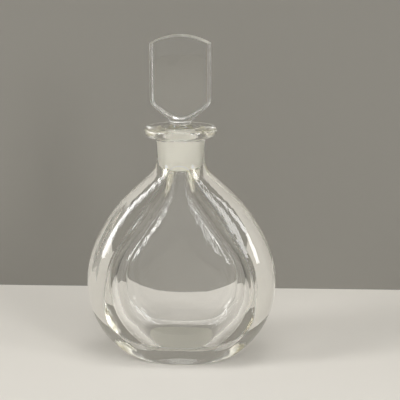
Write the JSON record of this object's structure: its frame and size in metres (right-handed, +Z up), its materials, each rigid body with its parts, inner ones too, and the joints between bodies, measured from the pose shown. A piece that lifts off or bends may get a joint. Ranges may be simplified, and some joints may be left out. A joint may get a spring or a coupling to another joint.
{
  "type": "decanter",
  "caption": "Clear thick glass flask decanter with flat ground faces, a flared lip and a ground-in slab stopper that lifts out.",
  "frame": {"origin": "centre of the foot, at the level of the table", "axes": "+Z up along the axis of the neck, +X along the broad width of the flask, -Y out of its front face"},
  "size_m": [0.148, 0.0594, 0.255],
  "materials": {
    "flask_glass": "clear polished glass, ground matt in the neck's seat and under the foot",
    "stopper_glass": "clear polished glass, ground matt on the plug"
  },
  "bodies": {
    "flask": {"flask": "flask_glass"},
    "stopper": {"stopper": "stopper_glass"}
  },
  "joints": [
    {"name": "stopper_lift", "type": "slide", "parent": "flask", "child": "stopper", "axis": [0, 0, 1], "range_m": [0, 0.045]}
  ]
}
